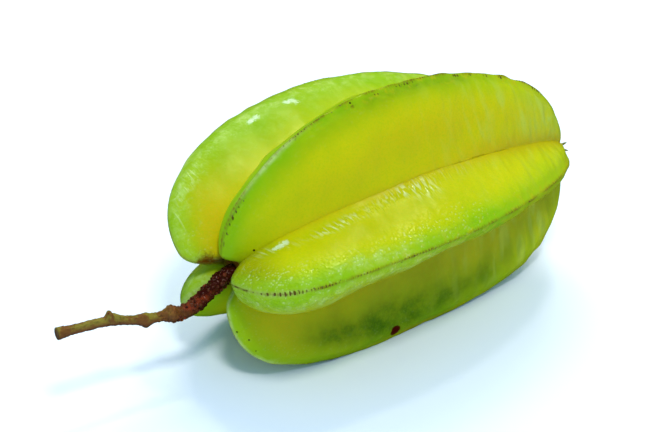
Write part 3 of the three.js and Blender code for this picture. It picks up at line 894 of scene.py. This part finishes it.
def stem_line(start):
    """Even points along the smooth curve through the stem's line, and their directions"""
    p = np.array((start,) + STEM_LINE)
    p = np.concatenate([[2 * p[0] - p[1]], p, [2 * p[-1] - p[-2]]])
    curve = []
    for k in range(1, len(p) - 2):
        d0, d1, d2 = (np.linalg.norm(p[k + i] - p[k + i - 1]) ** 0.5 for i in (0, 1, 2))
        leave = ((p[k] - p[k - 1]) / d0 - (p[k + 1] - p[k - 1]) / (d0 + d1) + (p[k + 1] - p[k]) / d1) * d1
        arrive = ((p[k + 1] - p[k]) / d1 - (p[k + 2] - p[k]) / (d1 + d2) + (p[k + 2] - p[k + 1]) / d2) * d1
        t = np.linspace(0, 1, 80, endpoint=k == len(p) - 3)[:, None]
        curve.append((2 * t ** 3 - 3 * t * t + 1) * p[k] + (t ** 3 - 2 * t * t + t) * leave
                     + (3 * t * t - 2 * t ** 3) * p[k + 1] + (t ** 3 - t * t) * arrive)
    curve = np.concatenate(curve)
    run = np.concatenate([[0], np.cumsum(np.linalg.norm(np.diff(curve, axis=0), axis=1))])
    even = np.linspace(0, run[-1], STEM_STEPS + 1)
    centre = np.stack([np.interp(even, run, curve[:, k]) for k in range(3)], -1)
    ahead = np.gradient(centre, axis=0)
    ahead[0] = (-1, 0, 0)
    return centre, ahead / np.linalg.norm(ahead, axis=1)[:, None], even / run[-1]


class STARFRUIT_OT_stem(bpy.types.Operator):
    """Stem: the woody stalk with its knots, spur and warts"""
    bl_idname = "starfruit.stem"
    bl_label = "Woody Stem"

    def execute(self, context):
        fruit, s = context.scene.starfruit_fruit, context.scene.starfruit_stem
        centre, ahead, share = stem_line((fruit.cavity_depth - s.gap, 0.0, 0.0))
        across = np.cross((0, 0, 1), ahead)
        across /= np.linalg.norm(across, axis=1)[:, None]
        over = np.cross(ahead, across)
        turn = np.linspace(0, 2 * math.pi, STEM_SIDES, endpoint=False)[None]
        x = centre[:, :1]
        taper = ramp(s.root_end - x, s.taper_run)
        taper = taper * taper * (3 - 2 * taper)
        radius = s.root_radius + (s.thin_radius - s.root_radius) * taper + 0 * turn
        for place, facing, height, reach, narrow in STEM_KNOTS:
            lobe = (0.5 + 0.5 * np.cos(turn - math.radians(facing))) ** narrow
            radius = radius + height * bell(x, place, reach) * lobe
        out = np.cos(turn)[..., None] * across[:, None] + np.sin(turn)[..., None] * over[:, None]
        run = share[:, None] * STEM_LENGTH + 0 * turn
        bark = np.stack([run, BARK_REACH * np.cos(turn) + 0 * x, BARK_REACH * np.sin(turn) + 0 * x], -1)
        ridge = swells(bark * (0.25, 1, 1), 0.0011, 21)
        lumps = swells(bark, 0.0023, 22)
        knobs = swells(bark, 0.0012, 23)
        smooth_ends = ramp(share, 0.05)[:, None] * ramp(1 - share, 0.02, 0.2)[:, None]
        rough = ramp(0.56 - share, 0.16, 0.30)[:, None]
        relief = 0.00014 * lumps + 0.00012 * np.clip(knobs, -0.6, 2)
        radius = radius + smooth_ends * (0.00004 * ridge + rough * relief)
        grid = centre[:, None] + radius[..., None] * out
        grid = grid + np.array((-fruit.middle[0], -fruit.middle[1], fruit.axis_height))
        mesh = tube_mesh("stem_bark", grid)
        paint(mesh, "along", share[:, None] + 0 * turn, (0.0, 1.0))
        paint(mesh, "upper", np.clip(0.25 + np.sin(turn), 0, 1) + 0 * x, (0.0, 0.0))
        # Share on the underside of the stem, for its painted shade
        paint(mesh, "under", np.clip(-0.1 - np.sin(turn), 0, 1) + 0 * x, (0.0, 0.0))
        paint(mesh, "cut", 0 * turn + 0 * x, (0.0, 1.0))
        paint(mesh, "warts", wart_cover(share)[:, None] + 0 * turn)
        flank_map(mesh, grid.shape[:2], run, radius * np.abs(turn - math.pi))
        piece = add_piece("stem_bark", mesh, bark_material(s))
        warts = sprinkle(piece, "stem_warts", "warts", wart_material(s), density=6.0e5,
                         smallest=0.00010, largest=s.wart_size, flat=0.55, seed=7)
        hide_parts("stem")
        for each in (piece, warts):
            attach(each, "root")
        return {"FINISHED"}


def wart_cover(share):
    """How thickly the warts stand along the stem"""
    return ramp(share - 0.03, 0.04) * (0.10 + 0.90 * ramp(0.50 - share, 0.14))


# Small lumps on a surface, by Geometry Nodes

def sprinkle_tree():
    tree = bpy.data.node_groups.new("lumps_on_surface", "GeometryNodeTree")
    tree.is_modifier = True
    for name, kind in (("Geometry", "Geometry"), ("Density", "Float"), ("Smallest", "Float"), ("Largest", "Float"),
                       ("Flatness", "Float"), ("Seed", "Int"), ("Cover", "String"), ("Material", "Material")):
        tree.interface.new_socket(name, in_out="INPUT", socket_type="NodeSocket" + kind)
    tree.interface.new_socket("Geometry", in_out="OUTPUT", socket_type="NodeSocketGeometry")
    g = Tree(tree)
    given = g.add("NodeGroupInput").outputs
    cover = g.add("GeometryNodeInputNamedAttribute", {"Name": given["Cover"]}, data_type="FLOAT").outputs[0]
    scatter = g.add("GeometryNodeDistributePointsOnFaces", {
        "Mesh": given["Geometry"], "Density": g.math("MULTIPLY", given["Density"], cover),
        "Seed": given["Seed"]}, distribute_method="RANDOM").outputs
    lump = g.add("GeometryNodeMeshIcoSphere", {"Radius": 1.0, "Subdivisions": 2}).outputs["Mesh"]
    chance = g.add("FunctionNodeRandomValue", {"Seed": given["Seed"]}, data_type="FLOAT").outputs[1]
    mostly_small = g.math("POWER", chance, 3.0)
    size = g.add("ShaderNodeMapRange", {
        "Value": mostly_small, "To Min": given["Smallest"], "To Max": given["Largest"]}).outputs[0]
    tall = g.math("MULTIPLY", size, given["Flatness"])
    shape = g.add("ShaderNodeCombineXYZ", {0: size, 1: size, 2: tall}).outputs[0]
    copies = g.add("GeometryNodeInstanceOnPoints", {
        "Points": scatter["Points"], "Rotation": scatter["Rotation"], "Instance": lump, "Scale": shape}).outputs[0]
    real = g.add("GeometryNodeRealizeInstances", {0: copies}).outputs[0]
    smooth = g.add("GeometryNodeSetShadeSmooth", {"Geometry": real}).outputs[0]
    done = g.add("GeometryNodeSetMaterial", {"Geometry": smooth, "Material": given["Material"]}).outputs[0]
    g.add("NodeGroupOutput", {0: done})
    return tree


def sprinkle(surface, name, cover, material, density, smallest, largest, flat, seed):
    """Small lumps on a surface, thick where its cover attribute is high, as a plain mesh"""
    tree = bpy.data.node_groups.get("lumps_on_surface") or sprinkle_tree()
    carrier = bpy.data.objects.new("carrier", surface.data.copy())
    bpy.context.scene.collection.objects.link(carrier)
    modifier = carrier.modifiers.new("lumps", "NODES")
    modifier.node_group = tree
    given = {"Density": density, "Smallest": smallest, "Largest": largest, "Flatness": flat,
             "Seed": seed, "Cover": cover, "Material": material}
    for item in tree.interface.items_tree:
        if item.item_type == "SOCKET" and item.in_out == "INPUT" and item.name in given:
            modifier[item.identifier] = given[item.name]
    carrier.update_tag()
    bpy.context.view_layer.update()
    ready = carrier.evaluated_get(bpy.context.evaluated_depsgraph_get())
    mesh = bpy.data.meshes.new_from_object(ready)
    old = carrier.data
    bpy.data.objects.remove(carrier)
    bpy.data.meshes.remove(old)
    if not mesh.polygons:
        raise RuntimeError(name + " has no lumps")
    mesh.name = name
    return add_piece(name, mesh, material)


class STARFRUIT_OT_flecks(bpy.types.Operator):
    """Flecks: corky specks along the crests"""
    bl_idname = "starfruit.flecks"
    bl_label = "Crest Flecks"

    def execute(self, context):
        skin = bpy.data.objects["fruit_skin"]
        piece = sprinkle(skin, "crest_flecks", "wear", fleck_material(context.scene.starfruit_skin),
                         density=1.1e6, smallest=0.00007, largest=0.00020, flat=0.35, seed=3)
        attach(piece, "root")
        return {"FINISHED"}


# Stage

def add_lamp(name, place, target, size, power, tint, along=None):
    lamp = bpy.data.lights.new(name, "AREA")
    lamp.shape = "RECTANGLE"
    lamp.size, lamp.size_y = size
    lamp.energy = power
    lamp.color = tint
    holder = bpy.data.objects.new(name, lamp)
    bpy.context.scene.collection.objects.link(holder)
    holder.location = place
    back = (Vector(place) - Vector(target)).normalized()
    wide = Vector(along) if along else Vector((0, 0, 1)).cross(back)
    wide = (wide - back * wide.dot(back)).normalized()
    holder.rotation_euler = Matrix((wide, back.cross(wide), back)).transposed().to_euler()
    return holder


class STARFRUIT_OT_stage(bpy.types.Operator):
    """Stage: floor, camera, lights and sky"""
    bl_idname = "starfruit.stage"
    bl_label = "Stage"

    def execute(self, context):
        scene, s = context.scene, context.scene.starfruit_stage
        half = s.floor_size / 2
        mesh = bpy.data.meshes.new("floor")
        mesh.from_pydata([(-half, -half, 0), (half, -half, 0), (half, half, 0), (-half, half, 0)], [], [(0, 1, 2, 3)])
        floor = add_piece("floor", mesh, floor_material(s))
        floor.visible_glossy = False
        target = Vector(s.target)
        back = Vector((math.sin(s.azimuth) * math.cos(s.elevation),
                       -math.cos(s.azimuth) * math.cos(s.elevation), math.sin(s.elevation)))
        lens = bpy.data.cameras.new("camera")
        lens.sensor_fit, lens.sensor_width, lens.lens = "HORIZONTAL", 36, s.lens
        lens.clip_start, lens.clip_end = 0.01, 20
        camera = bpy.data.objects.new("camera", lens)
        scene.collection.objects.link(camera)
        camera.location = target + back * s.distance
        camera.rotation_euler = (-back).to_track_quat("-Z", "Y").to_euler()
        scene.camera = camera
        centre = (0.01, 0.0, 0.03)
        key = add_lamp("window_behind", (0.51, 0.65, 0.91), centre,
                       size=(0.60, 0.60), power=7.4, tint=(1.0, 0.96, 0.90))
        key.visible_glossy = False
        add_lamp("skylight", (0.37, 0.18, 1.16), centre, size=(0.12, 0.10), power=1.7, tint=(1.0, 0.99, 0.97))
        front = add_lamp("front_lamp", (-0.23, -0.53, 1.08), centre,
                         size=(0.20, 0.20), power=6.8, tint=(0.92, 0.97, 1.0))
        front.visible_glossy = False
        glint = add_lamp("window_gleam", (0.43, 0.60, 0.97), centre,
                         size=(1.10, 0.030), power=1.8, tint=(1.0, 1.0, 0.98), along=(0.17, -0.70, 0.40))
        glint.visible_diffuse = False
        world = bpy.data.worlds.new("sky")
        world.use_nodes = True
        sky = world.node_tree.nodes["Background"]
        sky.inputs[0].default_value = tuple(s.sky_colour) + (1,)
        sky.inputs[1].default_value = s.sky_strength
        world.cycles_visibility.glossy = False
        scene.world = world
        scene.view_settings.view_transform = "Standard"
        scene.view_settings.look = "None"
        return {"FINISHED"}


class STARFRUIT_PT_panel(bpy.types.Panel):
    """Star fruit settings and steps"""
    bl_idname = "STARFRUIT_PT_panel"
    bl_label = "Star Fruit"
    bl_space_type = "VIEW_3D"
    bl_region_type = "UI"
    bl_category = "Star Fruit"

    def draw(self, context):
        for group in ("fruit", "skin", "stem", "stage"):
            settings = getattr(context.scene, "starfruit_" + group)
            box = self.layout.box()
            box.label(text=group.capitalize())
            for name in settings.__annotations__:
                box.prop(settings, name)
        for operator in STEPS:
            self.layout.operator(operator.bl_idname)


STEPS = (STARFRUIT_OT_skin, STARFRUIT_OT_flecks, STARFRUIT_OT_styles, STARFRUIT_OT_stem, STARFRUIT_OT_stage)
GROUPS = {"fruit": FruitSettings, "skin": SkinSettings, "stem": StemSettings, "stage": StageSettings}


def register():
    for name, group in GROUPS.items():
        bpy.utils.register_class(group)
        setattr(bpy.types.Scene, "starfruit_" + name, bpy.props.PointerProperty(type=group))
    for operator in STEPS:
        bpy.utils.register_class(operator)
    bpy.utils.register_class(STARFRUIT_PT_panel)


def unregister():
    bpy.utils.unregister_class(STARFRUIT_PT_panel)
    for operator in reversed(STEPS):
        bpy.utils.unregister_class(operator)
    for name, group in GROUPS.items():
        delattr(bpy.types.Scene, "starfruit_" + name)
        bpy.utils.unregister_class(group)


def main():
    register()
    bpy.ops.starfruit.skin()
    bpy.ops.starfruit.flecks()
    bpy.ops.starfruit.styles()
    bpy.ops.starfruit.stem()
    bpy.ops.starfruit.stage()


if __name__ == "__main__":
    main()
